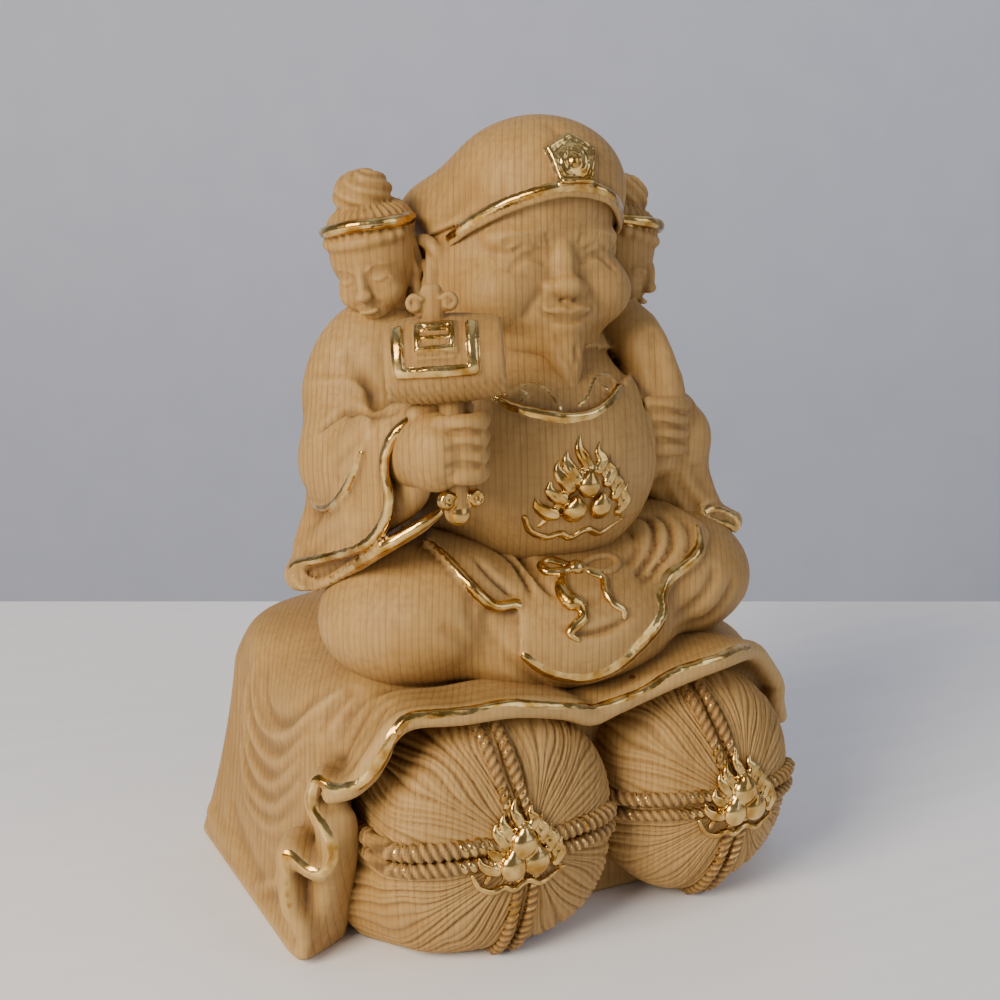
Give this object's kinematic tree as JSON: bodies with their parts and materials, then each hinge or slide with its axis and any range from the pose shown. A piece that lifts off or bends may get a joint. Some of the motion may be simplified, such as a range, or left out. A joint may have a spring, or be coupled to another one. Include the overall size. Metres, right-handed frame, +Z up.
{
  "type": "wooden god of fortune figure",
  "caption": "Seated wood carving of a smiling god with a mallet and a sack, a small head at each shoulder, on two cloth-covered rice bales, with gold-painted hems.",
  "frame": {"origin": "middle of the flat underside, in the middle of the part's width and depth", "axes": "+Z up the figure, -Y the way the face looks, +X towards the figure's left hand"},
  "size_m": [0.112, 0.0904, 0.1512],
  "materials": {
    "carved_cypress": "satin bare cypress with a visible vertical grain, and gloss gold paint on the hems, bands, jewels and flecks of rope"
  },
  "bodies": {
    "root": {"daikoku_figure": "carved_cypress"}
  },
  "joints": []
}
